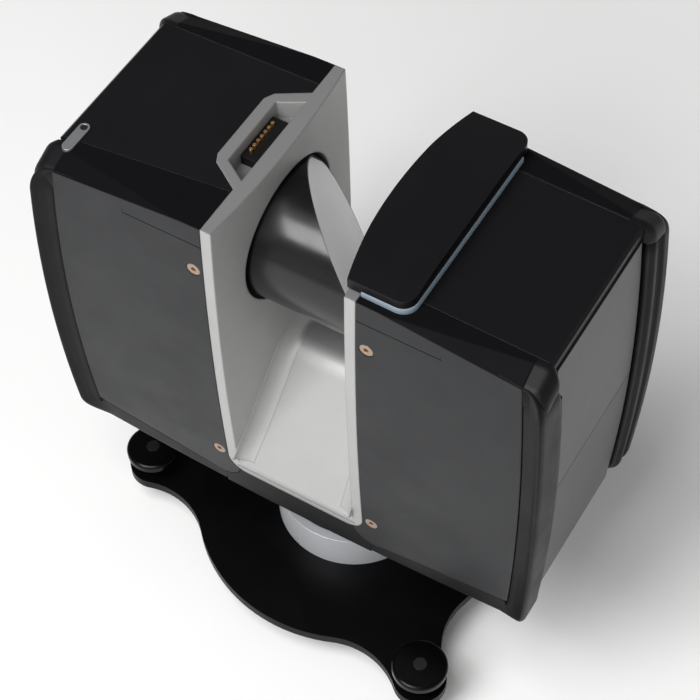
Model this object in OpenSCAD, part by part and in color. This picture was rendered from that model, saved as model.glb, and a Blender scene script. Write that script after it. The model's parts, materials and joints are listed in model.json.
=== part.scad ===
// Terrestrial laser scanner: a two-tower head that turns on a pan axis, with a
// spinning mirror between the towers, on a three-foot levelling plate.
// X runs across the towers, the front faces -Y, +Z is up. The origin is the mouth
// of the tripod thread, on the pan axis in the underside of the levelling plate.

/* [Head] */
// Width over the side bumpers
head_w = 230; // [228:0.5:231]
// Depth between the front and rear faces where they are fullest
face_d = 100.5; // [99.5:0.5:101.5]
// Height from the chin to the tops of the towers
head_h = 178; // [177:0.5:179]
// Wall thickness of the covers and bumpers
wall = 2.5; // [2.2:0.1:2.8]

/* [Gap between the towers] */
// Narrowest width of the gap
gap_w = 52; // [51:0.5:53]
// Height of the lower lip of the saddle above the chin
lip_rise = 19; // [18:0.5:20]
// Height of the crest of the saddle floor above the chin
crest_rise = 70; // [68:0.5:71]

/* [Rotor] */
// Height of the rotor axis above the chin
rotor_rise = 133.5; // [132.5:0.5:134.5]
// Diameter of the mirror drum
drum_d = 60; // [59:0.5:61]
// Turn of the mirror about the rotor axis, from facing straight up
mirror_turn = 54; // [0:1:359]

/* [Levelling stand] */
// Radius of the round middle of the plate
plate_r = 73.6; // [72:0.2:75]
// Thickness of the plate
plate_t = 5; // [4:0.5:6]
// Radius of the circle through the three feet
foot_circle_r = 97.5; // [96:0.5:99]
// Turn of the first arm about the pan axis
arm_turn = -162.2; // [-180:0.1:180]
// Diameter of the levelling knobs
knob_d = 24.8; // [23:0.2:26]
// Minor diameter of the tripod thread
tripod_minor_d = 7.94; // [7.9:0.02:8]

/* [Hidden] */

$fn = 96;
arc_fn = 720;                     // sides of the very large circles
gap = 0.2;                        // joint between neighbouring covers
eps = 0.01;

// heights
z_chin = 55.5;
z_top = z_chin + head_h;
z_bow = z_chin + head_h / 2;
z_seam = z_bow;                   // joint between the upper and lower side panels
rotor_z = z_chin + rotor_rise;
lip_z = z_chin + lip_rise;
crest_z = z_chin + crest_rise;

// head outline seen from the front: a bowed side, an arched underside, a sloping top
rim_x = head_w / 2;
side_r = 1000;                    // bow of the sides
arch_r = 1000;                    // arch of the underside
face_r = 1500;                    // bow of the front and rear faces
face_bow_z = z_bow + 20;          // height at which the faces are fullest
face_y = face_d / 2;
rim_proud = 3.4;                  // how far the bumper rim stands in front of the face
strip_w = 9.8;                    // width of the bumper strip
seam_y = 36.6;                    // joint between the covers and the top plates
tray_y = 39.5;                    // rear edges of the cover walls, below the top flange
left_seam = [34.8, 27.3];         // the left front joint slants, from its outer to its inner end
saddle_x = 33.5;                  // outer faces of the saddle frame
top_fall = 0.026;                 // slope of the tower tops
front_fall = 0.095;               // slope of the tower tops along their front edge
corner_x = 101;                   // where the cut across each lower corner would meet the chin
bottom_strip_rise = 8.4;          // upper edge of the lower bumper strip at the chin
bottom_strip_slope = 0.155;
chin_x = 36.7;                    // joint between the chin and the side covers
notch = [38.2, z_chin + 18];      // centre of the curve between the chin and a cover
notch_r = 10;
panel_inset = 3.4;                // side panels, in from the rim
panel_y = 34;                     // half length of the side panels
panel_t = 2;

// saddle
gap_bulge = 3;                    // the inner walls are this much further apart at the ends
gap_wall_r = pow(face_y, 2) / (2 * gap_bulge);
floor_slope = 50;                 // slope of the saddle floor, degrees
floor_t = 3.5;
crest_r = 18;
drum_r = drum_d / 2;
rotor_hole_r = drum_r + 1.8;
lens_r = 23;

// accessory bay, in the top of the left inner wall
bay_depth = 12;
bay_pitch = 2.6;
bay_contacts_n = 7;

// pan drive
post_r = 8;
post_top = 93;
pan_gear_teeth = 40;
pan_pinion_teeth = 12;
tooth_module = 1;
pan_gear_z = 83;
pan_gear_t = 6;
pinion_y = tooth_module * (pan_gear_teeth + pan_pinion_teeth) / 2;

hub_r = 15;
pan_bearing_r = 13;

// rotor
mirror_x = 1.4;                   // where the mirror plane crosses the rotor axis
mirror_t = 3;
shaft_r = 6;
rotor_bearing_r = 14;
stator_r = 24;

// stand
bush_r = 9;
insert_r = 5;
arm_half = 12;
blend_r = 34;
ring_r = 35.6;
ring_top = 25;
stud_r = 3;
knob_bottom = 13.3;
knob_t = 4.8;
stud_bottom = -9.5;
tip_bottom = -15;
foot_angles = [arm_turn, arm_turn + 120, arm_turn + 240];

// doors
hinge_x = rim_x - 9.8;
hinge_z = z_chin + 10;
pin_r = 1;
run = 0.05;                       // radial clearance of a running fit

// power button plate, across the left front seam
button_pos = [-101.2, -27.3];
button_plate_len = 15.4;
button_plate_w = 4.6;

module slab_y(y0, y1) translate([0, y1, 0]) rotate([90, 0, 0]) linear_extrude(y1 - y0) children();
module slab_x(x0, x1) translate([x0, 0, 0]) rotate([90, 0, 90]) linear_extrude(x1 - x0) children();
module slab_z(z0, z1) translate([0, 0, z0]) linear_extrude(z1 - z0) children();
module rod_x(x0, x1, r) translate([x0, 0, 0]) rotate([0, 90, 0]) cylinder(r = r, h = x1 - x0);
module rod_y(y0, y1, r) translate([0, y0, 0]) rotate([-90, 0, 0]) cylinder(r = r, h = y1 - y0);
module tube(r_out, r_in, h) {
    difference() {
        cylinder(r = r_out, h = h);
        translate([0, 0, -1]) cylinder(r = r_in, h = h + 2);
    }
}
module at_foot(i) rotate(foot_angles[i]) translate([foot_circle_r, 0, 0]) children();
function top_z(x) = z_top - top_fall * (x - saddle_x);

// ---- outlines ----

// right half of the head seen from the front, each edge moved in by its own amount
module outline(side = 0, bottom = 0, top = 0) {
    cut = sqrt(2) * max(side, bottom);
    intersection() {
        translate([rim_x - side_r, z_bow]) circle(r = side_r - side, $fn = arc_fn);
        translate([0, z_chin + arch_r]) circle(r = arch_r - bottom, $fn = arc_fn);
        polygon([
            [0, z_chin - 10], [corner_x - cut - 10, z_chin - 10],
            [corner_x - cut + head_w, z_chin + head_w], [0, z_chin + head_w]
        ]);
        polygon([
            [0, 0], [head_w, 0], [head_w, top_z(head_w) - top], [0, top_z(0) - top]
        ]);
    }
}

// everything behind the bowed front face, moved back by inset
module behind_face(inset = 0) {
    slab_x(-head_w, head_w)
        translate([face_r - face_y + inset, face_bow_z]) circle(r = face_r, $fn = arc_fn);
}

// the tower tops drop towards the front outer corner
module under_front_edge(inset = 0) {
    drop = front_fall * (rim_x - saddle_x);
    tilt_y = atan(front_fall);
    tilt_x = atan((drop - 2) / (face_y - seam_y));
    translate([saddle_x, -face_y, z_top - inset])
        rotate([0, tilt_y, 0]) rotate([tilt_x, 0, 0])
            translate([-head_w, -head_w, -2 * head_w]) cube([3 * head_w, 3 * head_w, 2 * head_w]);
}

// the part of the front face inside the bumper strips
module face_outline(inset = 0) {
    x0 = saddle_x + gap + inset;
    z0 = z_chin + bottom_strip_rise + inset;
    intersection() {
        outline(side = strip_w + inset, top = inset);
        difference() {
            union() {
                polygon([
                    [x0, notch[1]], [notch[0], notch[1]], [notch[0], z0],
                    [rim_x, z0 + bottom_strip_slope * (rim_x - notch[0])],
                    [rim_x, z_top + 5], [x0, z_top + 5]
                ]);
                translate(notch) circle(r = notch_r - gap - inset);
            }
            saddle_front(gap + inset);
        }
    }
}

// ---- covers ----

function face_at(z) = face_y - pow(z - face_bow_z, 2) / (2 * face_r);

// screws on the face of the right cover: the children stand on it, +Y going in
module at_cover_screws() {
    for (p = [[38.2, z_chin + 152.6], [38, z_chin + 26.9]])
        translate([p[0], -face_at(p[1]), p[1]]) children();
}

// a tray: the front face of the right tower, its top flange reaching back to the seam
module cover(seam = [seam_y, seam_y]) {
    difference() {
        intersection() {
            slab_y(-face_y - 1, -20) face_outline();
            behind_face();
            under_front_edge();
            slab_z(z_chin, z_top + 5) polygon([
                [0, -face_y - 2], [rim_x, -face_y - 2],
                [rim_x, -seam[0]], [107, -seam[0]], [saddle_x, -seam[1]], [0, -seam[1]]
            ]);
        }
        intersection() {
            slab_y(-face_y - 1, 0) face_outline(wall);
            behind_face(wall);
            under_front_edge(wall);
        }
        translate([0, -tray_y, 0]) cube([head_w, head_w, z_top - 8]);
        at_cover_screws() {
            rod_y(-1, 8, 1.7);
            rod_y(-1, 0.5, 3.05);
            translate([0, 0.5, 0]) rotate([-90, 0, 0]) cylinder(r1 = 3.05, r2 = 1.7, h = 1.4);
        }
        // joint line of the top strip
        slab_y(-face_y - 1, -face_y + 1.3) union() {
            translate([saddle_x, z_chin + 167.4]) square([36, 0.5]);
            translate([saddle_x + 35.5, z_chin + 167.4]) square([0.5, 4]);
        }
    }
}

// cross-section of the side bumper: x is the distance in from the rim, y runs forward.
// Only the rear bumpers have a channel and a finger recess beside the side panel.
module bumper_section(channel) {
    rim_y = face_y + rim_proud + 0.8;
    back_y = seam_y + (channel ? 0 : 0.4);
    front = [
        [6.8, back_y], [6.8, 45], [strip_w - gap, 46.5], [strip_w - gap, face_y],
        [6.5, face_y + 0.6], [3.6, face_y + 1.9], [1.6, rim_y], [0.6, rim_y], [0, rim_y - 2.4]
    ];
    plain_side = [[0, panel_y + 0.6], [2.4, panel_y + 0.6], [2.4, back_y]];
    channel_side = [
        [0, 47.6], [1.6, 47], [1.6, 43.4], [0.4, 42.8], [0.4, 39.4], [2, 38.6], [4.6, 38.2],
        [4.6, seam_y]
    ];
    polygon(concat(front, channel ? channel_side : plain_side));
}

module bumper_rail(channel) {
    half_turn = 6;
    intersection() {
        translate([rim_x - side_r, 0, z_bow])
            rotate([90, 0, 0]) rotate([0, 0, -half_turn])
                rotate_extrude(angle = 2 * half_turn, $fn = arc_fn)
                    translate([side_r, 0]) mirror([1, 0]) bumper_section(channel);
        behind_face(-rim_proud);
        slab_y(-head_w, 0) polygon([
            [0, z_chin], [corner_x - 5, z_chin], [corner_x + head_w, z_chin + head_w + 5],
            [0, z_chin + head_w]
        ]);
        under_front_edge(1);
    }
}

module bumper(channel = false) {
    bumper_rail(channel);
    intersection() {
        difference() {
            slab_y(-face_y - 0.4, -seam_y) bottom_strip();
            slab_y(-face_y + wall, -seam_y + 1) bottom_strip(wall);
        }
        behind_face();
    }
}

module bottom_strip(inset = 0) {
    z1 = z_chin + bottom_strip_rise - gap - inset;
    intersection() {
        outline(side = inset > 0 ? strip_w : 1, bottom = inset);
        polygon([
            [chin_x + gap + inset, 0], [rim_x - 6, 0],
            [rim_x - 6, z1 + bottom_strip_slope * (rim_x - 6 - notch[0])],
            [chin_x + gap + inset, z1 + bottom_strip_slope * (chin_x - notch[0])]
        ]);
    }
}

module chin_cover() {
    color("#2a2a2c") difference() {
        intersection() {
            slab_y(-face_y - 1, -seam_y) chin_outline();
            behind_face();
        }
        intersection() {
            slab_y(-face_y - 1, 0) chin_outline(wall);
            behind_face(wall);
        }
    }
}

module chin_outline(inset = 0) {
    half = chin_x - inset;
    intersection() {
        translate([0, z_chin + arch_r]) circle(r = arch_r - inset, $fn = arc_fn);
        difference() {
            translate([-half, 0]) square([2 * half, z_chin + 20]);
            saddle_front(0.3 + inset);
            for (s = [-1, 1]) translate([s * notch[0], notch[1]]) circle(r = notch_r + inset);
        }
    }
}

module front_cover_left() color("#4a4b4d") difference() {
    mirror([1, 0, 0]) cover(left_seam);
    slab_z(z_top - 20, z_top + 5) button_slot(gap);
}
module front_cover_right() color("#4a4b4d") cover();
module rear_cover_left() color("#4a4b4d") mirror([1, 0, 0]) mirror([0, 1, 0]) cover();
module rear_cover_right() color("#4a4b4d") mirror([0, 1, 0]) cover();
module front_bumper_left() color("#2a2a2c") mirror([1, 0, 0]) bumper();
module front_bumper_right() color("#2a2a2c") bumper();
module rear_bumper_left() color("#2a2a2c") mirror([1, 0, 0]) mirror([0, 1, 0]) bumper(true);
module rear_bumper_right() color("#2a2a2c") mirror([0, 1, 0]) bumper(true);
module chin_cover_front() chin_cover();
module chin_cover_rear() mirror([0, 1, 0]) chin_cover();

module cover_screws() {
    color("#c9b09a")
        for (sx = [0, 1], sy = [0, 1]) mirror([sx, 0, 0]) mirror([0, sy, 0])
            at_cover_screws() difference() {
                union() {
                    rod_y(0.1, 0.5, 2.9);
                    translate([0, 0.5, 0]) rotate([-90, 0, 0]) cylinder(r1 = 2.9, r2 = 1.5, h = 1.4);
                    rod_y(1.9, 13, 1.5);
                }
                translate([0, -1, 0]) rotate([-90, 0, 0]) cylinder(r = 1.2, h = 2.4, $fn = 6);
            }
}

// ---- tops and sides ----

// right top plate; the left one has the accessory bay cut out of its inner edge
module top_plate() {
    slab_y(-seam_y + gap, seam_y - gap) polygon([
        [saddle_x + gap, top_z(saddle_x) - wall], [saddle_x + gap, top_z(saddle_x)],
        [106.2, top_z(106.2)], [107.6, top_z(107.6) - 1.4], [107.6, top_z(107.6) - 6],
        [105.4, top_z(107.6) - 6], [105.4, top_z(105.4) - wall]
    ]);
}

module top_plate_right() color("#1c1c1e") top_plate();

module top_plate_left() {
    color("#1c1c1e") difference() {
        mirror([1, 0, 0]) top_plate();
        slab_z(z_top - 30, z_top + 5) bay_plan(gap);
        slab_z(z_top - 30, z_top + 5) polygon([
            [-rim_x, -face_y], [-rim_x, -left_seam[0] + gap], [-107, -left_seam[0] + gap],
            [-saddle_x, -left_seam[1] + gap], [0, -left_seam[1] + gap], [0, -face_y]
        ]);
        translate([0, 0, z_top - 5]) slab_z(0, 8) button_slot(gap);
    }
}

// a bowed side panel of the right tower between two heights
module side_panel(z0, z1) {
    r = side_r - panel_inset;
    intersection() {
        translate([rim_x - side_r, 0, z_bow]) difference() {
            rod_y(-panel_y, panel_y, r, $fn = arc_fn);
            rod_y(-panel_y - 1, panel_y + 1, r - panel_t, $fn = arc_fn);
        }
        translate([rim_x - 20, -panel_y, z0]) cube([20, 2 * panel_y, z1 - z0]);
    }
}

// lower side panel, swinging down on two stub pins at its lower corners
module door() {
    difference() {
        union() {
            side_panel(z_chin + 7.5, z_seam - gap);
            for (s = [-1, 1]) translate([hinge_x, s * (panel_y - 3), hinge_z]) {
                rod_y(-3, 3, 2.2);
                translate([0, -3, -1]) cube([2, 6, 2]);
            }
        }
        translate([hinge_x, 0, hinge_z]) rod_y(-panel_y - 1, panel_y + 1, pin_r + run);
    }
}

module left_side_panel() color("#666666") mirror([1, 0, 0]) side_panel(z_seam + gap, z_top - 8.2);
module display_glass() color("#666a6c") side_panel(z_seam + gap, z_top - 8.2);
module battery_door() color("#5c5c5c") mirror([1, 0, 0]) door();
module service_door() color("#5c5c5c") door();
module door_hinge_pins() {
    color("silver") for (sx = [0, 1], sy = [0, 1]) mirror([sx, 0, 0]) mirror([0, sy, 0])
        translate([hinge_x, 0, hinge_z]) rod_y(panel_y - 5.5, seam_y - gap, pin_r);
}

// ---- saddle frame ----

// side view of the space above the saddle floor, moved down by drop
module above_floor(drop = 0) {
    run_y = face_y + 5;
    foot_z = lip_z - drop - 5 * tan(floor_slope);
    flat_y = crest_r * sin(floor_slope);
    center_z = crest_z - drop - crest_r;
    side_z = center_z + crest_r * cos(floor_slope);
    mid_y = flat_y + (side_z - foot_z) / tan(floor_slope);
    difference() {
        translate([-run_y, foot_z]) square([2 * run_y, z_top - foot_z + 20]);
        polygon([
            [-run_y, foot_z - 1], [-mid_y, foot_z], [-flat_y, side_z], [0, center_z],
            [flat_y, side_z], [mid_y, foot_z], [run_y, foot_z - 1]
        ]);
        translate([0, center_z]) circle(r = crest_r);
    }
}

// plan of the gap between the inner walls, made wider by extra
module gap_plan(extra = 0) {
    half = gap_w / 2 + extra;
    difference() {
        translate([-saddle_x, -face_y - 5]) square([2 * saddle_x, face_d + 10]);
        for (s = [-1, 1])
            translate([s * (half + gap_wall_r), 0]) circle(r = gap_wall_r, $fn = arc_fn);
    }
}

// the saddle frame seen from the front, grown by extra
module saddle_front(extra = 0) {
    half = saddle_x + extra;
    corner = 9 + extra;
    bottom = z_chin + 16.3 - extra;
    translate([-half, bottom + corner]) square([2 * half, z_top - bottom - corner + extra]);
    translate([-half + corner, bottom]) square([2 * (half - corner), corner + 1]);
    for (s = [-1, 1]) translate([s * (half - corner), bottom + corner]) circle(r = corner);
}

// plan of the accessory bay, grown by extra
module bay_plan(extra = 0) {
    polygon([
        [-30, 33.6 + extra], [-32.1, 32.3 + extra], [-46.2 - extra, 23.6 + extra * 0.5],
        [-48.4 - extra, 19.5], [-48.4 - extra, -13.6], [-46.6 - extra, -17.2 - extra * 0.5],
        [-32.1, -26.6 - extra], [-30, -27.8 - extra]
    ]);
}

module bay_recess() {
    polygon([[-33, 26], [-43.2, 20.1], [-43.2, -14.2], [-33, -20.6]]);
}

module saddle_frame() {
    color("#b5b5b5") difference() {
        union() {
            intersection() {
                slab_y(-face_y - 1, face_y + 1) saddle_front();
                behind_face();
                mirror([0, 1, 0]) behind_face();
            }
            slab_z(z_top - bay_depth, z_top) bay_plan();
        }
        // the gap itself
        intersection() {
            slab_z(0, z_top + 10) gap_plan();
            slab_x(-saddle_x - 1, saddle_x + 1) above_floor();
        }
        // hollow under the floor
        difference() {
            translate([-saddle_x + 4, -face_y - 5, 0]) cube([2 * saddle_x - 8, face_d + 10, z_top]);
            slab_x(-saddle_x - 1, saddle_x + 1) above_floor(floor_t);
            for (s = [-1, 1]) translate([-saddle_x, s * (face_y + 3) - 6, z_chin + 10])
                cube([2 * saddle_x, 12, 9.5]);
        }
        translate([0, 0, rotor_z]) rod_x(-saddle_x - 1, -20, rotor_hole_r);
        translate([0, 0, rotor_z]) rod_x(20, saddle_x + 1, lens_r + 1);
        slab_z(z_top - bay_depth + wall, z_top + 1) bay_recess();
    }
}

// ---- accessory bay and power button ----

module bay_connector() {
    color("#151515") difference() {
        translate([-42.9, -6.5, z_top - bay_depth + wall + eps]) cube([9.6, 23.5, 4.5]);
        for (i = [0:bay_contacts_n - 1])
            translate([-40.5, bay_y(i), z_top - bay_depth + wall + 2]) cylinder(r = 0.8, h = 10);
    }
}

function bay_y(i) = 5.2 + (i - (bay_contacts_n - 1) / 2) * bay_pitch;

module bay_contacts() {
    color("#c89060") for (i = [0:bay_contacts_n - 1])
        translate([-40.5, bay_y(i), z_top - bay_depth + wall + 2]) cylinder(r = 0.78, h = 4);
}

module button_slot(extra = 0) {
    r = button_plate_w / 2 + extra;
    len = button_plate_len - button_plate_w;
    translate(button_pos) {
        translate([-r, -len]) square([2 * r, len]);
        for (y = [-len, 0]) translate([0, y]) circle(r = r);
    }
}

module power_plate() {
    color("#8a8d90") difference() {
        translate([0, 0, top_z(103) - 2.2]) slab_z(0, 3) button_slot();
        translate([button_pos[0], button_pos[1], top_z(103) - 3]) cylinder(r = 1.55, h = 6);
    }
}

module power_button() {
    color("#101010") translate([button_pos[0], button_pos[1], top_z(103) - 3.6]) {
        cylinder(r = 1.5, h = 4.2);
        cylinder(r = 2.2, h = 1.1);
    }
}

// ---- antenna cap ----

module cap_plan(inset = 0) {
    bulge_r = 185;
    difference() {
        union() {
            translate([22 + inset, -45 + inset]) square([25.5 - inset, 94 - 2 * inset]);
            translate([40, -39]) square([14 - inset, 82]);
            for (y = [-39, 43]) translate([48, y]) circle(r = 6 - inset);
        }
        difference() {
            translate([0, -60]) square([36, 120]);
            translate([22 + inset + bulge_r, 2]) circle(r = bulge_r, $fn = 360);
        }
    }
}

module antenna_cap() {
    cap_z = z_top + 1.2;
    color("#161618") intersection() {
        slab_z(cap_z, cap_z + 12) cap_plan();
        translate([-1200 + 40, 0, 0]) slab_x(1110, 1220)
            translate([2, cap_z + 7.6 - 400]) circle(r = 400, $fn = 360);
        translate([38, 0, cap_z + 7.6 - 160]) rod_y(-60, 60, 160, $fn = 360);
    }
}

module light_strip() {
    color("#8c9aaa") difference() {
        slab_z(z_top + 0.05, z_top + 1.15) cap_plan(0.6);
        slab_z(z_top - 1, z_top + 4) cap_plan(4);
        translate([0, -60, z_top - 1]) cube([36, 140, 4]);
        translate([0, 42, z_top - 1]) cube([80, 20, 4]);
    }
}

// ---- head structure ----

// arched floor of the head between the two rows of covers, with the pan bearing hub
module head_base() {
    half_y = seam_y - gap;
    color("#1a1a1c") difference() {
        union() {
            intersection() {
                translate([0, 0, z_chin + arch_r]) difference() {
                    rod_y(-half_y, half_y, arch_r, $fn = arc_fn);
                    rod_y(-half_y - 1, half_y + 1, arch_r - 3, $fn = arc_fn);
                }
                translate([-101, -head_w, z_chin - 1]) cube([202, 2 * head_w, 20]);
            }
            for (sx = [0, 1], sy = [0, 1]) mirror([sx, 0, 0]) mirror([0, sy, 0])
                translate([98, panel_y + gap, z_chin + 5]) cube([hinge_x - 95.6, 2.2, 7.4]);
            translate([0, 0, ring_top + 1]) cylinder(r = 32, h = z_chin - ring_top + 1);
            translate([0, 0, z_chin]) cylinder(r = hub_r, h = 24);
        }
        translate([0, 0, ring_top]) cylinder(r = pan_bearing_r - 1.5, h = z_chin);
        translate([0, 0, ring_top]) cylinder(r = pan_bearing_r, h = 12);
        translate([0, 0, z_chin + 16]) cylinder(r = pan_bearing_r, h = 12);
        for (s = [-1, 1]) translate([s * hinge_x, 0, hinge_z]) rod_y(-head_w, head_w, pin_r);
    }
}

module bearing(r_out, r_in, t) {
    tube(r_out, r_out - 1.8, t);
    tube(r_in + 1.8, r_in, t);
    translate([0, 0, 0.6]) tube(r_out - 1.8, r_in + 1.8, t - 1.2);
}

module pan_bearings() {
    color("#a8acb0") for (z = [ring_top + 5, z_chin + 16])
        translate([0, 0, z]) bearing(pan_bearing_r, post_r + run, 7);
}

module pan_motor() {
    color("#3a3d42") translate([0, pinion_y, 0]) {
        translate([0, 0, z_chin + 3.5]) cylinder(r = 10.5, h = pan_gear_z - z_chin - 5);
        translate([0, 0, z_chin + 20]) cylinder(r = 1.5 - run, h = pan_gear_z + pan_gear_t - z_chin - 19);
    }
}

// straight-sided teeth on a root circle, clear of the mating wheel
module gear_2d(teeth, phase = 0) {
    pitch_r = teeth * tooth_module / 2;
    half = 360 / teeth / 4;
    circle(r = pitch_r - 1.2 * tooth_module);
    for (i = [0:teeth - 1]) rotate(phase + i * 360 / teeth)
        polygon([
            for (p = [[-1.2, 1.3], [0, 0.78], [0.85, 0.34]]) (pitch_r + p[0]) * dir(-half * p[1]),
            for (p = [[0.85, 0.34], [0, 0.78], [-1.2, 1.3]]) (pitch_r + p[0]) * dir(half * p[1])
        ]);
}

function dir(a) = [cos(a), sin(a)];

module pan_gear() {
    color("#c9a24a") difference() {
        slab_z(pan_gear_z, pan_gear_z + pan_gear_t) gear_2d(pan_gear_teeth);
        cylinder(r = post_r, h = 200);
    }
}

module pan_pinion() {
    color("#9a9da1") translate([0, pinion_y, 0]) difference() {
        slab_z(pan_gear_z, pan_gear_z + pan_gear_t)
            gear_2d(pan_pinion_teeth, 180 / pan_pinion_teeth - 90);
        cylinder(r = 1.5, h = 200);
    }
}

// threaded bosses on the saddle frame for the cover screws
module cover_bosses() {
    color("#8f9296")
        for (sx = [0, 1], sy = [0, 1]) mirror([sx, 0, 0]) mirror([0, sy, 0])
            intersection() {
                at_cover_screws() difference() {
                    rod_y(5, 16, 4.5);
                    rod_y(5, 13, 1.5);
                }
                translate([0, -tray_y + gap, 0]) cube([head_w, 6, head_w + z_chin]);
            }
}

// ---- rotor ----

// local frame of the rotor: axis along X, turned to the shown position
module at_rotor() translate([0, 0, rotor_z]) rotate([-mirror_turn, 0, 0]) children();

// everything behind a 45 degree plane through the rotor axis at x
module behind_mirror(x) {
    translate([x, 0, 0]) rotate([0, -45, 0]) translate([-200, -100, -100]) cube(200);
}

module mirror_drum() {
    color("#0c0c0d") at_rotor() difference() {
        intersection() {
            rod_x(-37, 25.6, drum_r);
            behind_mirror(mirror_x);
        }
        intersection() {
            rod_x(-27.5, 24.8, drum_r - 0.5);
            difference() {
                behind_mirror(mirror_x + 1);
                behind_mirror(mirror_x - mirror_t * sqrt(2));
            }
        }
        rod_x(-38, -24, shaft_r);
    }
}

module scan_mirror() {
    color("#c8cacc") at_rotor() intersection() {
        rod_x(-27.3, 24.6, drum_r - 0.7);
        difference() {
            behind_mirror(mirror_x);
            behind_mirror(mirror_x - mirror_t * sqrt(2));
        }
    }
}

module rotor_shaft() {
    color("#b0b3b6") at_rotor() {
        rod_x(-98, -24, shaft_r);
        rod_x(-42, -37, shaft_r + 5);
    }
}

module rotor_bearings() {
    color("#a8acb0") for (x = [-52, -76]) translate([x, 0, rotor_z]) rotate([0, 90, 0])
        bearing(rotor_bearing_r, shaft_r + run, 7);
}

module bearing_housing() {
    color("#7c8084") difference() {
        union() {
            intersection() {
                translate([0, 0, rotor_z]) rod_x(-43.5, -saddle_x, rotor_hole_r + 2.4);
                translate([-60, -60, 0]) cube([60, 120, z_top - bay_depth - 0.3]);
            }
            translate([0, 0, rotor_z]) rod_x(-80, -43.5, rotor_bearing_r + 4);
        }
        translate([0, 0, rotor_z]) {
            rod_x(-42.5, -saddle_x + 1, rotor_hole_r);
            rod_x(-81, -40, shaft_r + 6);
            rod_x(-53, -44, rotor_bearing_r);
            rod_x(-81, -69, rotor_bearing_r);
        }
    }
}

module motor_stator() {
    color("#b06a3a") difference() {
        translate([0, 0, rotor_z]) rod_x(-91, -80, stator_r);
        translate([0, 0, rotor_z]) rod_x(-92, -79, stator_r - 7);
    }
}

module motor_magnet() {
    color("#55585c") at_rotor() difference() {
        rod_x(-90, -81, stator_r - 7.8);
        rod_x(-91, -80, shaft_r);
    }
}

module encoder_disc() {
    color("#90a4b0") at_rotor() difference() {
        rod_x(-96, -94.5, 20);
        rod_x(-97, -93, shaft_r);
    }
}

module receiver_tube() {
    color("#202022") difference() {
        translate([0, 0, rotor_z]) rod_x(27.5, 84, lens_r + 1);
        translate([0, 0, rotor_z]) rod_x(26, 80, lens_r - 1.5);
        translate([0, 0, rotor_z]) rod_x(26, 33, lens_r);
        translate([0, 0, rotor_z]) rod_x(79, 90, 6);
    }
}

module receiver_lens() {
    color("#9fb4c4") translate([28.5, 0, rotor_z]) rotate([0, 90, 0]) cylinder(r = lens_r, h = 4.5);
}

module laser_module() {
    color("#34363a") difference() {
        translate([84, -16, rotor_z - 16]) cube([17, 32, 32]);
        translate([0, 0, rotor_z]) rod_x(83, 90, 5);
    }
}

module main_board() {
    color("#1f5a3a") translate([56, -32, z_chin + 22]) cube([1.6, 64, 74]);
    color("#202020") for (p = [[-20, 34, 22], [6, 34, 14], [-22, 62, 16], [2, 58, 20]])
        translate([57.6, p[0], z_chin + p[1]]) cube([2.4, p[2], p[2]]);
}

module battery_pack() {
    color("#3b3e44") translate([-102, -28, z_chin + 14]) cube([44, 56, 68]);
}

module service_sockets() {
    color("#26282b") difference() {
        translate([99, -22, z_chin + 22]) cube([6, 44, 50]);
        for (p = [[-11, 34], [11, 34]]) translate([0, p[0], z_chin + p[1]]) rod_x(101, 106, 6);
        translate([101, -13, z_chin + 54]) cube([6, 26, 3]);
    }
}

// ---- stand ----

// one arm, with the hollow curves that blend it into the round middle
module arm_2d() {
    reach = arm_half + blend_r;
    blend_x = sqrt(pow(plate_r + blend_r, 2) - pow(reach, 2));
    translate([0, -arm_half]) square([foot_circle_r, 2 * arm_half]);
    translate([foot_circle_r, 0]) circle(r = arm_half);
    difference() {
        polygon([[0, 0], [blend_x, -reach], [blend_x, reach]]);
        for (s = [-1, 1]) translate([blend_x, s * reach]) circle(r = blend_r);
    }
}

module plate_2d() {
    circle(r = plate_r);
    for (a = foot_angles) rotate(a) arm_2d();
}

module stand_plate() {
    color("#101011") difference() {
        slab_z(0, plate_t) plate_2d();
        translate([0, 0, -1]) cylinder(r = bush_r, h = plate_t + 2);
        for (i = [0:2]) at_foot(i) translate([0, 0, -1]) cylinder(r = insert_r, h = plate_t + 2);
        for (i = [0:5]) rotate(30 + 60 * i) translate([28, 0, -1]) {
            cylinder(r = 2.1, h = plate_t + 2);
            cylinder(r = 3.8, h = 4.3);
        }
    }
}

module thread_inserts() {
    color("#b08d4a") for (i = [0:2]) at_foot(i)
        tube(insert_r, stud_r + run, plate_t + 2);
}

module mount_ring() {
    color("#a9adb2") difference() {
        translate([0, 0, plate_t]) cylinder(r = ring_r, h = ring_top - plate_t);
        translate([0, 0, plate_t - 1]) cylinder(r = bush_r, h = ring_top);
        translate([0, 0, plate_t + 9]) cylinder(r = post_r, h = ring_top);
        for (i = [0:5]) rotate(30 + 60 * i) translate([28, 0, plate_t - 1]) cylinder(r = 1.7, h = 13);
    }
}

module mount_screws() {
    color("#b8bbbe") for (i = [0:5]) rotate(30 + 60 * i) translate([28, 0, 0]) difference() {
        union() {
            translate([0, 0, 0.3]) cylinder(r = 3.5, h = 2.9);
            translate([0, 0, 1]) cylinder(r = 1.7, h = plate_t + 9);
        }
        translate([0, 0, -1]) cylinder(r = 1.5, h = 3, $fn = 6);
    }
}

module tripod_bush() {
    color("#c4c7ca") difference() {
        cylinder(r = bush_r, h = plate_t + 9);
        translate([0, 0, -1]) cylinder(r = tripod_minor_d / 2, h = 14);
    }
}

module pan_post() {
    color("#9fa3a7") translate([0, 0, plate_t + 9]) cylinder(r = post_r, h = post_top - plate_t - 9);
}

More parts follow.
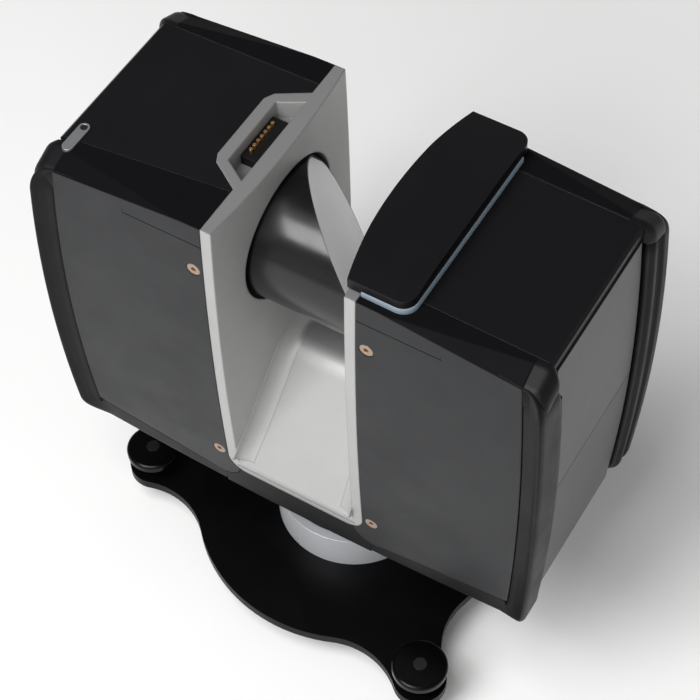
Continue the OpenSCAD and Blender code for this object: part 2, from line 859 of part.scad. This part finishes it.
module levelling_knob(i) {
    color("#151516") at_foot(i) difference() {
        translate([0, 0, knob_bottom]) rotate_extrude() polygon([
            [0, 0], [knob_d / 2 - 1, 0], [knob_d / 2, 1], [knob_d / 2, knob_t - 1.2],
            [knob_d / 2 - 0.4, knob_t - 0.4], [knob_d / 2 - 1.2, knob_t], [0, knob_t]
        ]);
        translate([0, 0, knob_bottom - 1]) cylinder(r = stud_r, h = knob_t + 2);
    }
}

module levelling_stud(i) {
    color("#3a3a3c") at_foot(i) translate([0, 0, stud_bottom])
        cylinder(r = stud_r, h = knob_bottom + knob_t - stud_bottom);
}

module foot_tip(i) {
    color("#8f9296") at_foot(i) translate([0, 0, tip_bottom]) rotate_extrude() polygon([
        [0, 0], [1.2, 0], [2.2, 0.5], [2.8, 1.4], [stud_r, 2.6],
        [stud_r, stud_bottom - tip_bottom - 0.1], [0, stud_bottom - tip_bottom - 0.1]
    ]);
}

module levelling_knob_1() levelling_knob(0);
module levelling_knob_2() levelling_knob(1);
module levelling_knob_3() levelling_knob(2);
module levelling_stud_1() levelling_stud(0);
module levelling_stud_2() levelling_stud(1);
module levelling_stud_3() levelling_stud(2);
module foot_tip_1() foot_tip(0);
module foot_tip_2() foot_tip(1);
module foot_tip_3() foot_tip(2);

stand_plate();
thread_inserts();
mount_ring();
mount_screws();
tripod_bush();
pan_post();
pan_gear();
levelling_knob_1();
levelling_knob_2();
levelling_knob_3();
levelling_stud_1();
levelling_stud_2();
levelling_stud_3();
foot_tip_1();
foot_tip_2();
foot_tip_3();
head_base();
pan_bearings();
pan_motor();
pan_pinion();
saddle_frame();
cover_bosses();
front_cover_left();
front_cover_right();
rear_cover_left();
rear_cover_right();
front_bumper_left();
front_bumper_right();
rear_bumper_left();
rear_bumper_right();
chin_cover_front();
chin_cover_rear();
top_plate_left();
top_plate_right();
left_side_panel();
battery_door();
display_glass();
service_door();
door_hinge_pins();
service_sockets();
battery_pack();
antenna_cap();
light_strip();
power_plate();
power_button();
bay_connector();
bay_contacts();
cover_screws();
mirror_drum();
scan_mirror();
rotor_shaft();
rotor_bearings();
bearing_housing();
encoder_disc();
motor_stator();
motor_magnet();
receiver_tube();
receiver_lens();
laser_module();
main_board();
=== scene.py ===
import json
import math

import bmesh
import bpy
from mathutils import Matrix, Vector


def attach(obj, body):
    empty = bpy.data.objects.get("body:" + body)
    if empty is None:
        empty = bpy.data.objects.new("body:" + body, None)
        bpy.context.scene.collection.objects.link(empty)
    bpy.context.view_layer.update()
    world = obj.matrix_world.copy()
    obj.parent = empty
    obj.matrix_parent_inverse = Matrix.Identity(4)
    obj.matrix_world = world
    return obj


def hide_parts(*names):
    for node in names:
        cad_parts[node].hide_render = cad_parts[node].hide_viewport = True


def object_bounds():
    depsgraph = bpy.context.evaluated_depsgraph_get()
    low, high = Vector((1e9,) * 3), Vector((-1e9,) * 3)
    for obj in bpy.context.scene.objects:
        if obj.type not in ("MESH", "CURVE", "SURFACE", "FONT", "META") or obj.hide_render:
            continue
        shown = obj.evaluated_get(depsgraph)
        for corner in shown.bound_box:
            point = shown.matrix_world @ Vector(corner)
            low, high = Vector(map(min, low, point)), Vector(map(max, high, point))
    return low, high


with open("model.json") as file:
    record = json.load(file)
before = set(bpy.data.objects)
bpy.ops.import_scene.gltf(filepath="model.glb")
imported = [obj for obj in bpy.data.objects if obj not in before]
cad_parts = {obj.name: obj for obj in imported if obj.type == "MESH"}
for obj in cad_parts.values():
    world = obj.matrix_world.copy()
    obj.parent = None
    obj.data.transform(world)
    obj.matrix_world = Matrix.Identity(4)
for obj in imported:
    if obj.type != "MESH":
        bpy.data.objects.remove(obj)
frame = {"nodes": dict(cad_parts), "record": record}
CAD_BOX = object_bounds()
MM = 0.001
NODES = frame["nodes"]

# lengths in mm and angles in radians, as in the CAD
Z_CHIN = 55.5       # underside of the head, at its middle
Z_TOP = 233.5       # tops of the towers, at the saddle frame
Z_BOW = 144.5       # height where the sides stand furthest out
Z_FULL = 164.5      # height where the front and rear faces stand furthest out
FACE_Y = 50.25      # half the depth between those faces
RIM_X = 115.0       # half the width over the bumpers
SIDE_R = 1000.0     # bow of the sides
FACE_R = 1500.0     # bow of the front and rear faces
ARCH_R = 1000.0     # arch of the underside
SADDLE_X = 33.5     # outer faces of the saddle frame
CHIN_X = 36.9       # inner ends of the bumpers, beside the chin covers
FRONT_FALL = 0.095  # slope of the tower tops along their front edge
STRIP_SLOPE = 0.155  # slope of the seam above a bumper's bottom strip
NOTCH_X = 38.2      # where that seam starts to rise
CREST_Z = 125.5     # crest of the saddle floor
CREST_R = 18.0
FLOOR_SLOPE = math.radians(50)
WALL_X = 26         # half the gap between the towers, where it is narrowest
WALL_SPREAD = 841.7  # away from there each wall steps back by y * y / WALL_SPREAD

# lengths that only the skins have
CORNER_X = 101      # where a bumper's upper corner meets its ridge
RIDGE_END_X = 70    # where the ridge fades out
RIDGE_LIFT = 1.3    # rise of the ridge over the cover top, at the corner
RIDGE_SINK = 1.2    # how far the ridge has sunk into the front face where it fades out


# ---------------------------------------------------------------- materials

class Shader:
    """A Principled material and short calls for the nodes behind it."""

    def __init__(self, name, **values):
        self.mat = bpy.data.materials.new(name)
        self.mat.use_nodes = True
        self.tree = self.mat.node_tree
        self.bsdf = self.tree.nodes["Principled BSDF"]
        for socket, value in values.items():
            self.bsdf.inputs[socket.replace("_", " ")].default_value = value
        self.coords = self.tree.nodes.new("ShaderNodeTexCoord")
        self.place = self.coords.outputs["Object"]

    def put(self, socket, value):
        if isinstance(value, bpy.types.NodeSocket):
            self.tree.links.new(value, socket)
        else:
            socket.default_value = value

    def add(self, kind, inputs=None, **props):
        node = self.tree.nodes.new("ShaderNode" + kind)
        for key, value in props.items():
            setattr(node, key, value)
        for key, value in (inputs or {}).items():
            self.put(node.inputs[key], value)
        return node

    def link(self, out, socket):
        self.tree.links.new(out, self.bsdf.inputs[socket])

    def noise(self, scale, detail=3.0, rough=0.6, stretch=None):
        """Cloudy values round 0.5 that stay in place on the object."""
        place = self.place
        if stretch:
            place = self.add("Mapping", {"Vector": place, "Scale": stretch}).outputs["Vector"]
        return self.add("TexNoise", {
            "Vector": place, "Scale": scale, "Detail": detail, "Roughness": rough,
        }).outputs["Fac"]

    def remap(self, value, low, high, from_low=0.3, from_high=0.7):
        """Stretch the range from_low..from_high to low..high."""
        return self.add("MapRange", {
            "Value": value, "From Min": from_low, "From Max": from_high,
            "To Min": low, "To Max": high,
        }).outputs["Result"]

    def mix(self, factor, a, b):
        """Colour a where the factor is 0, b where it is 1."""
        node = self.add("Mix", data_type="RGBA")
        for i, value in ((0, factor), (6, a), (7, b)):
            self.put(node.inputs[i], value)
        return node.outputs[2]

    def upward(self, low, high):
        """1 on faces that look up, 0 on upright ones."""
        split = self.add("SeparateXYZ", {"Vector": self.coords.outputs["Normal"]})
        return self.remap(split.outputs["Z"], 0.0, 1.0, low, high)

    def rounded(self, radius):
        """A normal that is rounded at edges, and a value that is 1 on them."""
        normal = self.add("Bevel", {"Radius": radius}, samples=6).outputs["Normal"]
        flat = self.add("NewGeometry").outputs["Normal"]
        dot = self.add("VectorMath", {0: normal, 1: flat}, operation="DOT_PRODUCT")
        return normal, self.remap(dot.outputs["Value"], 1.0, 0.0, 0.8, 0.985)


def rgb(code):
    """Linear colour from an sRGB hex code."""
    parts = [int(code[i:i + 2], 16) / 255 for i in (0, 2, 4)]
    return tuple(c / 12.92 if c <= 0.04045 else ((c + 0.055) / 1.055) ** 2.4 for c in parts) + (1.0,)


def scaled(colour, k):
    """A colour made k times as light."""
    return tuple(min(c * k, 1.0) for c in colour[:3]) + (1.0,)


BLOTCH = 18.0       # scale of the cloudy tone
GRAIN_LIGHT = 2.2   # how much lighter than the base colour the grain can get
EDGE_HIGHLIGHT_LIGHT = 2.5    # and how much lighter the edges are painted, as a painted highlight


def finish_of(name, code, rough, metal=0.0, spec=0.5, grain=2600.0, depth=0.02, spread=0.06,
              wear=0.3, round_mm=0.35, top=None, top_at=0.35, sheen=0.05, stretch=None, glow=0.0):
    """A painted, moulded or machined surface: cloudy tone, fine grain, edges painted lighter as a
    highlight.
    Faces that look up take the colour top, a painted shade, and less shine, where one is given."""
    s = Shader(name, Metallic=metal, Specular_IOR_Level=spec)
    base = rgb(code)
    tone = s.mix(s.remap(s.noise(BLOTCH, 4.0), 0.0, 1.0), scaled(base, 1 - spread),
                 scaled(base, 1 + spread))
    fine = s.noise(grain, 2.0, 0.5, stretch)
    tone = s.mix(s.remap(fine, 0.0, spread * 1.5), tone, scaled(base, GRAIN_LIGHT))
    # painted shade: faces that look up are painted in the darker colour top and shine less
    if top:
        top_shade_mask = s.upward(top_at, min(top_at + 0.45, 0.98))
        tone = s.mix(top_shade_mask, tone, rgb(top))
        s.link(s.remap(top_shade_mask, spec, spec * 0.1, 0.0, 1.0), "Specular IOR Level")
    normal, edge = s.rounded(round_mm * MM)
    # painted highlight: the edges are made lighter than the base colour
    tone = s.mix(s.remap(edge, 0.0, wear, 0.0, 1.0), tone, scaled(base, EDGE_HIGHLIGHT_LIGHT))
    s.link(tone, "Base Color")
    s.link(s.remap(s.noise(BLOTCH * 3, 3.0), rough - sheen, rough + sheen), "Roughness")
    bump = s.add("Bump", {"Height": fine, "Strength": 0.35, "Distance": depth * MM,
                          "Normal": normal})
    s.link(bump.outputs["Normal"], "Normal")
    # glow: emission that lifts a part out of its shade, painted light
    if glow:
        s.put(s.bsdf.inputs["Emission Color"], base)
        s.put(s.bsdf.inputs["Emission Strength"], glow)
    return s.mat


MATS = {}


def material(slot, *args, **kwargs):
    MATS[slot] = finish_of(slot, *args, **kwargs)


# top: the cover's upward faces are painted darker, a painted shade
material("cover_paint", "1e1f21", 0.42, spec=0.25, grain=3500, round_mm=1.0, top="111113", wear=0.1)
material("bumper_plastic", "0f0f10", 0.42, spec=0.12, grain=2400, wear=0.15)
material("top_plastic", "131315", 0.36, spec=0.12, grain=3000, wear=0.15, round_mm=0.5)
# top: the upward faces are painted darker, a painted shade
material("silver_paint", "a6a6a5", 0.45, metal=0.2, grain=4200, depth=0.03, wear=0.0, round_mm=1.2,
         top="7e7e7e", top_at=0.86)
material("panel_plastic", "2e2e2e", 0.34, spec=0.4, wear=0.1, spread=0.02, sheen=0.01)
material("screen_glass", "2a2a2b", 0.3, spec=0.4, wear=0.1, spread=0.02, sheen=0.01)
# the glow is partly the light guide's own light and partly painted light that lifts it out of the
# shade under the cap
material("light_guide", "78848f", 0.3, glow=0.1, wear=0.1)
material("brushed_plate", "a4a6a8", 0.35, metal=0.8, stretch=(1, 0.05, 1))
material("button_black", "161616", 0.4)
material("connector_black", "101010", 0.5, spec=0.2)
material("contact_gold", "d8a068", 0.3, metal=0.9, round_mm=0.1)
material("screw_steel", "a08a78", 0.35, metal=0.7, round_mm=0.2)
material("base_black", "040405", 0.4, spec=0.1, wear=0.15)
material("base_casting", "0a0a0b", 0.5, spec=0.2)
material("ring_metal", "d8dbdf", 0.32, metal=0.4, wear=0.1)
material("insert_brass", "b08d4a", 0.35, metal=0.9)
material("steel", "b5b7b9", 0.3, metal=0.95)
material("knob_black", "040405", 0.22, spec=0.12, wear=0.15)
material("stud_steel", "2a2a2c", 0.35, metal=0.7, round_mm=0.15)
material("drum_black", "0a0a0b", 0.22, wear=0.15)
# painted reflection: the mirror is a pale, non-metallic coat whose brightness stands in for what it
# reflects
material("mirror_coat", "f2f2f3", 0.35, wear=0.05, round_mm=0.2)
material("motor_dark", "3c3f44", 0.45, metal=0.5)
material("winding", "a8683c", 0.4, metal=0.6)
material("encoder_glass", "90a4b0", 0.15, metal=0.2)
material("lens_glass", "1b2c38", 0.08)
material("optic_black", "18181a", 0.45)
material("board_green", "1f5a3a", 0.4)
material("battery_case", "34363a", 0.5)

SLOTS = {row["node"]: row["material_slot"] for row in frame["record"]["subparts"]}
for node, obj in NODES.items():
    obj.data.materials.clear()
    obj.data.materials.append(MATS[SLOTS[node]])


# ---------------------------------------------------------------- shapes

def piece(name, rings, slot, nodes=(), flip=(1, 1), sharp=38):
    """A closed skin through a row of rings, with flat ends, riding on the head."""
    n = len(rings[0])
    points = [Vector((p[0] * flip[0], p[1] * flip[1], p[2])) * MM for ring in rings for p in ring]
    mesh = bpy.data.meshes.new(name)
    bm = bmesh.new()
    verts = [bm.verts.new(p) for p in points]
    for i in range(len(rings) - 1):
        for k in range(n):
            a, b = i * n + k, i * n + (k + 1) % n
            bm.faces.new((verts[a], verts[b], verts[b + n], verts[a + n]))
    bm.faces.new(verts[:n])
    bm.faces.new(verts[-n:])
    bmesh.ops.recalc_face_normals(bm, faces=bm.faces)
    for face in bm.faces:
        face.smooth = True
    bm.to_mesh(mesh)
    bm.free()
    mesh.set_sharp_from_angle(angle=math.radians(sharp))
    mesh.materials.append(MATS[slot])
    obj = bpy.data.objects.new(name, mesh)
    bpy.context.scene.collection.objects.link(obj)
    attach(obj, "head")
    if nodes:
        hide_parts(*nodes)
    return obj


def blend(a, b, t):
    """An outline part of the way from a to b, which have as many points."""
    t = min(max(t, 0.0), 1.0)
    t = t * t * (3 - 2 * t)
    return [(p[0] + (q[0] - p[0]) * t, p[1] + (q[1] - p[1]) * t) for p, q in zip(a, b)]


def soften(corners, reach=0.9, steps=4):
    """Round each corner of a closed outline with a short curve."""
    out = []
    for i, c in enumerate(corners):
        c = Vector(c)
        before, after = Vector(corners[i - 1]), Vector(corners[(i + 1) % len(corners)])
        p = c + (before - c) * min(0.45, reach / max((before - c).length, 1e-6))
        q = c + (after - c) * min(0.45, reach / max((after - c).length, 1e-6))
        for k in range(steps + 1):
            t = k / steps
            out.append(tuple(p * (1 - t) ** 2 + c * 2 * t * (1 - t) + q * t ** 2))
    return out


def bow_x(z):
    """Half the width over the bumpers at a height."""
    return RIM_X - SIDE_R + math.sqrt(SIDE_R ** 2 - (z - Z_BOW) ** 2)


def arch_z(x):
    """Height of the underside of the head."""
    return Z_CHIN + x * x / (2 * ARCH_R)


def face_fall(z):
    """How far the front face has curved back at a height."""
    return (z - Z_FULL) ** 2 / (2 * FACE_R)


def edge_z(x):
    """Height of the cover tops along their front edge."""
    return Z_TOP - FRONT_FALL * (x - SADDLE_X)


def bend(p0, p1, p2, steps):
    """A curve from p0 to p2 that bends towards p1."""
    return [tuple(Vector(p0) * (1 - t) ** 2 + Vector(p1) * 2 * t * (1 - t) + Vector(p2) * t ** 2)
            for t in (i / steps for i in range(steps + 1))]


def ridge_share(x):
    """1 where the ridge leaves the corner, 0 where it fades out."""
    return (x - RIDGE_END_X) / (CORNER_X - RIDGE_END_X)


def rim_path():
    """Outer edge of a bumper from the chin, round both corners, to where its ridge fades out.
    Each point has a stage: 0 on the bottom strip, 1 on the side, 2 on top."""
    turn_x = 101.5
    low_z, high_z = 73, 215
    path = [((CHIN_X + 0.1 + i * 2.5, arch_z(CHIN_X + i * 2.5)), 0.0) for i in range(26)]
    low = bend((turn_x, arch_z(turn_x)), (112.6, arch_z(108)), (bow_x(low_z), low_z), 14)
    path += [(p, 0.2 + 0.8 * i / 14) for i, p in enumerate(low)]
    path += [((bow_x(z), z), 1.0) for z in range(low_z + 3, high_z - 1, 4)]
    top = (turn_x, edge_z(turn_x) + RIDGE_LIFT)
    high = bend((bow_x(high_z), high_z), (bow_x(226), 227.1), top, 16)
    path += [(p, 1 + i / 16) for i, p in enumerate(high)]
    for x in range(99, RIDGE_END_X - 1, -3):
        path.append(((x, edge_z(x) + RIDGE_LIFT * ridge_share(x)), 2.0))
    return path


# Outlines of a bumper across its rim: distance in from the rim, distance from the middle of
# the head towards the face. A whole bumper has PLAIN or CHANNEL on its side, STRIP below
# and RIDGE on top; all have as many points, so that one can turn into the next.
FRONT = [(9.6, 46.5), (9.6, 50.25), (6.5, 50.85), (3.6, 52.15), (1.7, 53.5), (0.7, 53.6),
         (0, 51.8)]
BACK = [(2.4, 37), (6.8, 37), (6.8, 45)]
PLAIN = FRONT + [(0, 49), (0, 46.5), (0, 44), (0, 41.5), (0, 38.8), (0.6, 36.7), (2.4, 36.7)] + BACK
CHANNEL = FRONT + [(0, 47.8), (1.7, 47), (1.7, 43.4), (0.3, 42.6), (0.3, 39.6), (2, 38.6),
                   (2.2, 38.2)] + BACK
STRIP = [(8.2, 46.5), (8.2, 50.2), (6.0, 50.2), (4.2, 50.2), (2.4, 50.2), (1.0, 50.2), (0, 49.4),
         (0, 48), (0, 46.5), (0, 44), (0, 41.5), (0, 39.5), (0, 37.5), (1, 37)] + BACK
RIDGE = [(7.5, 46), (7.5, 48.9), (4.5, 49.2), (1.9, 49.8), (0.5, 50.1), (0, 49.9), (0, 49.5),
         (0.4, 49.2), (1.0, 48.8), (1.6, 48.2), (2.1, 47.2), (2.5, 46.2), (2.8, 45.4),
         (3.0, 44.8), (3.3, 44.4), (3.6, 44.8), (3.6, 45.6)]


def bowed_y(y, z):
    """Depth of a bumper's point: the front part follows the bow of the face, the back doesn't."""
    back, front = 39, 50
    share = min(max((y - back) / (front - back), 0), 1)
    return y - face_fall(z) * share


def bumper_rings(side_outline):
    """Rings of a front right bumper, from the chin to the end of its ridge."""
    path = rim_path()
    strip, side, ridge = (soften(s) for s in (STRIP, side_outline, RIDGE))
    strip_width = STRIP[0][0]
    seam_share = 0.55  # part of the seam's rise that the skin follows
    rings = []
    for i, ((x, z), stage) in enumerate(path):
        ax, az = path[max(i - 1, 0)][0]
        bx, bz = path[min(i + 1, len(path) - 1)][0]
        along = Vector((bx - ax, bz - az)).normalized()
        inward = Vector((-along.y, along.x))
        if stage <= 1:
            section = blend(strip, side, stage)
            wider = (1 - stage) * STRIP_SLOPE * max(x - NOTCH_X, 0) * seam_share
            section = [(d + wider * min(d / strip_width, 1), y) for d, y in section]
        else:
            section = blend(side, ridge, stage - 1)
            fade = max(0, 1 - ridge_share(x)) if stage == 2 else 0
            section = [(d, y - RIDGE_SINK * fade) for d, y in section]
        ring = []
        for d, y in section:
            px, pz = x + inward.x * d, z + inward.y * d
            ring.append((px, -bowed_y(y, pz), pz))
        rings.append(ring)
    return rings


def bumpers():
    """The four bumpers, of which the rear two have a channel along the side."""
    for name, outline, flip in (
        ("front_bumper_right", PLAIN, (1, 1)), ("front_bumper_left", PLAIN, (-1, 1)),
        ("rear_bumper_right", CHANNEL, (1, -1)), ("rear_bumper_left", CHANNEL, (-1, -1)),
    ):
        piece(name + "_skin", bumper_rings(outline), "bumper_plastic", (name,), flip)


def top_corners():
    """Rounded shoulders between the bumpers, the cover tops and the top plates."""
    front_y, length, steps = -48.9, 12.6, 14
    top_z, out_x, depth = 231.45, 111.9, 9
    facet_slope, facet_gap = 0.42, 0.1
    front_z = edge_z(105)
    rings = []
    for i in range(steps + 1):
        y = front_y + i * length / steps
        # the front end is chamfered, and the back end curves in towards the side panel
        high = min(front_z + facet_slope * (FACE_Y + y) - facet_gap, top_z)
        high -= 0.6 * max(0, -47.5 - y)
        back = max(0.0, (y + 40) / 3.7)
        out = out_x - 2.2 * back * back - 0.8 * max(0, -48.5 - y)
        ring = [(CORNER_X, high - depth), (CORNER_X, high)]
        ring += bend((105.5, high), (out - 0.6, high), (out, high - 7.5), 8)
        ring += [(out, high - depth)]
        rings.append([(px, y, pz) for px, pz in ring])
    for name, flip in (
        ("front_shoulder_right", (1, 1)), ("front_shoulder_left", (-1, 1)),
        ("rear_shoulder_right", (1, -1)), ("rear_shoulder_left", (-1, -1)),
    ):
        piece(name, rings, "top_plastic", (), flip, sharp=50)


def panel_seals():
    """Black lines between the front bumpers and the side panels."""
    outline = [(3.9, -36.9), (1.3, -36.9), (1.0, -36.3), (1.0, -35.3), (1.4, -34.7), (3.9, -34.3)]
    rings = [[(bow_x(z) - d, y, z) for d, y in outline] for z in range(66, 214, 3)]
    for name, side in (("panel_seal_right", 1), ("panel_seal_left", -1)):
        piece(name, rings, "top_plastic", (), (side, 1), sharp=60)


def saddle_fillets():
    """Rounded corners between the saddle floor and the inner walls."""
    radius, sunk, end_y, steps = 7.0, -0.6, -46.2, 16
    centre_z = CREST_Z - CREST_R
    flat_y = CREST_R * math.sin(FLOOR_SLOPE)
    side_z = centre_z + CREST_R * math.cos(FLOOR_SLOPE)
    # up the front slope, over the crest and down the rear slope, with the floor's tilt
    front = []
    for i in range(steps + 1):
        y = end_y + (-end_y - flat_y) * i / steps
        front.append(((y, side_z - (-flat_y - y) * math.tan(FLOOR_SLOPE)), FLOOR_SLOPE))
    crest = []
    for i in range(1, 12):
        a = FLOOR_SLOPE * (1 - i / 6)
        crest.append(((-CREST_R * math.sin(a), centre_z + CREST_R * math.cos(a)), a))
    rear = [((-y, z), -a) for (y, z), a in reversed(front)]
    profile = [(sunk, sunk), (sunk, radius)]
    for i in range(9):
        a = math.pi + i * math.pi / 16
        profile.append((radius + radius * math.cos(a), radius + radius * math.sin(a)))
    profile.append((radius, sunk))
    rings = []
    for (y, z), a in front + crest + rear:
        wall = WALL_X + y * y / WALL_SPREAD
        rings.append([(-wall + u, y - v * math.sin(a), z + v * math.cos(a)) for u, v in profile])
    for name, side in (("saddle_fillet_left", 1), ("saddle_fillet_right", -1)):
        piece(name, rings, "silver_paint", (), (side, 1), sharp=60)


def light_band():
    """Light guide under the antenna cap, from its front left end to its rear right corner."""
    start_x, turn_x, turn_y, radius = 34, 48, -39, 6
    line = [((start_x + i * 2.4, turn_y - radius), -90) for i in range(6)]
    for a in range(-90, 1, 10):
        turn = math.radians(a)
        line.append(((turn_x + radius * math.cos(turn), turn_y + radius * math.sin(turn)), a))
    line += [((turn_x + radius, turn_y + i * 5.0), 0) for i in range(1, 17)]
    section = [(-2.2, -1.6), (0.2, -1.6), (0.45, -0.8), (0.45, 1.8), (0.2, 2.3), (-2.2, 2.3)]
    rings = []
    for (x, y), a in line:
        out = Vector((math.cos(math.radians(a)), math.sin(math.radians(a))))
        rings.append([(x + out.x * d, y + out.y * d, Z_TOP + h) for d, h in section])
    piece("light_band", rings, "light_guide", ("light_strip",))


bumpers()
top_corners()
panel_seals()
saddle_fillets()
light_band()


# ---------------------------------------------------------------- studio

def camera():
    """The photo's camera, in metres."""
    data = bpy.data.cameras.new("photo_camera")
    cam = bpy.data.objects.new("photo_camera", data)
    bpy.context.scene.collection.objects.link(cam)
    right = Vector((0.85854, 0.5124, -0.01887))
    down = Vector((0.40471, -0.69978, -0.58865))
    ahead = Vector((-0.31483, 0.49774, -0.80817))
    axes = Matrix((right, -down, -ahead)).transposed()
    place = (0.2646, -0.4185, 0.8028)
    cam.matrix_world = Matrix.Translation(place) @ axes.to_4x4()
    data.sensor_width = 36
    data.lens = 102.55
    data.clip_start, data.clip_end = 0.05, 20
    bpy.context.scene.camera = cam


def area_light(name, at, aim, size, power):
    """A soft light at a place, turned towards another one, in metres and watts."""
    data = bpy.data.lights.new(name, "AREA")
    data.shape = "RECTANGLE"
    data.size, data.size_y = size
    data.energy = power
    light = bpy.data.objects.new(name, data)
    light.location = at
    light.rotation_mode = "QUATERNION"
    light.rotation_quaternion = (Vector(aim) - Vector(at)).to_track_quat("-Z", "Y")
    bpy.context.scene.collection.objects.link(light)


def sky():
    """Pale all round at the horizon and dark overhead."""
    world = bpy.data.worlds.new("studio")
    world.use_nodes = True
    tree = world.node_tree
    coords = tree.nodes.new("ShaderNodeTexCoord")
    split = tree.nodes.new("ShaderNodeSeparateXYZ")
    ramp = tree.nodes.new("ShaderNodeMapRange")
    tree.links.new(coords.outputs["Generated"], split.inputs[0])
    tree.links.new(split.outputs["Z"], ramp.inputs["Value"])
    for key, value in (("From Min", 0.15), ("From Max", 0.65), ("To Min", 0.6), ("To Max", 0.16)):
        ramp.inputs[key].default_value = value
    back = tree.nodes["Background"]
    back.inputs["Color"].default_value = (1, 1, 1, 1)
    tree.links.new(ramp.outputs["Result"], back.inputs["Strength"])
    bpy.context.scene.world = world


def studio():
    """Sky, three soft lights and a white floor under the object."""
    bpy.context.scene.view_settings.view_transform = "Standard"
    sky()
    area_light("key", at=(-0.45, -1.2, 1.6), aim=(0, 0, 0.12), size=(0.8, 0.8), power=20)
    area_light("front", at=(0.35, -1.3, 1.0), aim=(0, 0, 0.1), size=(0.9, 0.6), power=5)
    area_light("over", at=(-0.15, -0.7, 1.9), aim=(0, 0, 0.12), size=(0.8, 0.8), power=17)
    half = 4
    corners = ((-half, -half), (half, -half), (half, half), (-half, half))
    mesh = bpy.data.meshes.new("floor")
    bm = bmesh.new()
    for x, y in corners:
        bm.verts.new((x, y, CAD_BOX[0][2]))
    bm.faces.new(bm.verts)
    bm.to_mesh(mesh)
    bm.free()
    floor = bpy.data.objects.new("floor", mesh)
    bpy.context.scene.collection.objects.link(floor)
    s = Shader("floor_white", Roughness=0.85, Specular_IOR_Level=0.1)
    s.link(s.mix(s.noise(3.0), rgb("f4f4f3"), rgb("fafafa")), "Base Color")
    mesh.materials.append(s.mat)


camera()
studio()
